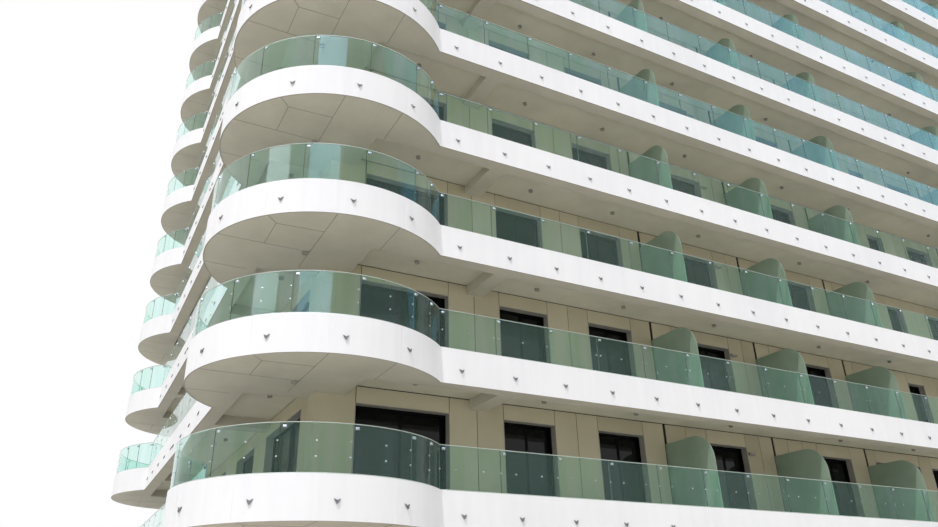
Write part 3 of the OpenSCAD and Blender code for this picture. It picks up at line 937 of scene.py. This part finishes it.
def houseDoorway():
    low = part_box("stair_house_walls")[0]
    (x0, x1), y = houseDoor[0], low.y + houseDoorSet["back"]
    inside = houseDoorSet["frame"]
    parts = [ring((x0, y, low.z), (x1, y + houseDoorSet["depth"], houseHead), inside)]
    margin, back = inside + houseDoorSet["gap"], y + houseDoorSet["leafBack"]
    leaf = block((x0 + margin, back, low.z + margin),
                 (x1 - margin, back + houseDoorSet["leaf"], houseHead - margin))
    selectFaces(leaf, lambda f: f.normal.y < -0.5)
    bpy.ops.mesh.inset(thickness=houseDoorSet["panel"])
    bpy.ops.mesh.inset(thickness=houseDoorSet["slope"])
    bpy.ops.transform.translate(value=(0, houseDoorSet["pressed"], 0))
    parts.append(done(leaf))
    fittings = []
    radius, long = houseDoorSet["hinge"]
    for z in houseDoorSet["hingeAt"]:
        deselect()
        bpy.ops.mesh.primitive_cylinder_add(vertices=10, radius=radius, depth=long,
                                            location=(x0 + inside, y + houseDoorSet["hingeBack"], low.z + z))
        fittings.append(settle(bpy.context.active_object))
    axis = Vector((x1 - inside - houseDoorSet["leverIn"], y, low.z + houseDoorSet["leverAt"]))
    plate, lever, spindle = (block(*(axis + Vector(corner) for corner in houseDoorSet[key]))
                             for key in ("plate", "lever", "spindle"))
    for piece in (plate, lever):
        selectFaces(piece, lambda f: f.normal.y < -0.5)
        bpy.ops.mesh.bevel(offset=houseDoorSet["easing"], segments=1, affect="EDGES")
        done(piece)
    finished(joined("houseDoor", parts), revealSheet)
    finished(joined("houseDoorFittings", fittings + [plate, lever, spindle]), steel, 30)


houseDoorway()
print("stair house done")


# Plain pale floor, soft studio light, and the camera at the photograph's viewing angle. The two lights have
# their place, size and power. Each card has its place, what it faces, its width, height, power and colour
studio = {"floor": 400, "worldStrength": 0.65, "middle": (0, 0, 9.5),
          "keyLight": ((-85, -63, 181), 4, 266000), "fillLight": ((45, -40, 12), 40, 2400),
          "cards": (((-55, -47, 44), (-12, -5, 44), 92, 44, 18000, (0.95, 0.95, 1.1)),
                    ((-69, -25, 39), (-12, -5, 39), 24, 30, 16500, (1.15, 0.95, 1.2)),
                    ((-38, -59, 46), (-12, -5, 46), 31, 44, 25500, (0.9, 1, 1.6)),
                    ((135, -72, 122), (135, 0, 122), 240, 100, 108000, (0.2, 0.65, 1.1))),
          "darkCard": ((73, -74.5, 0), (330, -74, 190))}
view = {"place": (-14.284, -12.770, 0.801), "lens": 28.95, "sensor": 36, "far": 1000,
        "right": (0.8836, -0.4677, -0.0198), "up": (-0.1876, -0.3925, 0.9004),
        "forward": (0.4289, 0.7919, 0.4346)}


def paleFloor():
    deselect()
    bpy.ops.mesh.primitive_plane_add(size=studio["floor"], location=(0, 0, 0))
    floor = bpy.context.active_object
    floor.name = "paleFloor"
    floor.data.materials.append(dappled("paleFloor", 0.05, 2.0, "#dedcd8", "#e4e2de", {"Roughness": 0.9}))


# Only seen in glass and metal, where it keeps the white background out of the right hand panes
def darkCard():
    card = block(*studio["darkCard"])
    card.name = "darkCard"
    card.data.materials.append(dappled("darkCard", 0.05, 2.0, "#5a5d5d", "#666969", {"Roughness": 0.9}))
    card.visible_camera = card.visible_diffuse = card.visible_shadow = card.visible_transmission = False


# A card is only seen in glass and metal, where it stands for the sky and for pale things around
def areaLight(name, place, target, wide, high, power, colour=(1, 1, 1), isCard=False):
    deselect()
    bpy.ops.object.light_add(type="AREA", location=place)
    lamp = bpy.context.active_object
    lamp.name = name
    lamp.data.shape = "RECTANGLE" if isCard else "ELLIPSE"
    lamp.data.size, lamp.data.size_y = wide, high
    lamp.data.energy = power
    lamp.data.color = colour
    lamp.visible_camera = False
    lamp.visible_glossy = isCard
    lamp.visible_diffuse = not isCard
    lamp.rotation_euler = (Vector(target) - Vector(place)).to_track_quat("-Z", "Y").to_euler()


# Lights the object at one strength, and shows white to the camera, to metal and through glass
def whiteWorld():
    world = bpy.data.worlds.new("whiteWorld")
    world.use_nodes = True
    world.node_tree.nodes.clear()
    path = addNode(world, "LightPath", {}).outputs
    seen = addNode(world, "Math", {"operation": "MAXIMUM"})
    setInputs(world, seen, {0: path["Is Camera Ray"], 1: path["Is Glossy Ray"]})
    either = addNode(world, "Math", {"operation": "MAXIMUM"})
    setInputs(world, either, {0: seen.outputs["Value"], 1: path["Is Transmission Ray"]})
    plain = addNode(world, "Background", {}, Color=(1, 1, 1, 1), Strength=studio["worldStrength"])
    white = addNode(world, "Background", {}, Color=(1, 1, 1, 1))
    mix = addNode(world, "MixShader", {}, Fac=either.outputs["Value"])
    setInputs(world, mix, {1: plain.outputs["Background"], 2: white.outputs["Background"]})
    addNode(world, "OutputWorld", {}, Surface=mix.outputs["Shader"])
    bpy.context.scene.world = world


paleFloor()
darkCard()
whiteWorld()
for name in ("keyLight", "fillLight"):
    place, size, power = studio[name]
    areaLight(name, place, studio["middle"], size, size, power)
for i, card in enumerate(studio["cards"]):
    areaLight(f"mirroredCard{i}", *card, True)
bpy.context.scene.view_settings.view_transform = "Standard"

bpy.ops.object.camera_add()
camera = bpy.context.active_object
right, up, forward = Vector(view["right"]), Vector(view["up"]), Vector(view["forward"])
camera.matrix_world = Matrix.Translation(view["place"]) @ Matrix((right, up, -forward)).transposed().to_4x4()
camera.data.lens = view["lens"]
camera.data.sensor_width = view["sensor"]
camera.data.clip_end = view["far"]
bpy.context.scene.camera = camera

print("scene done")
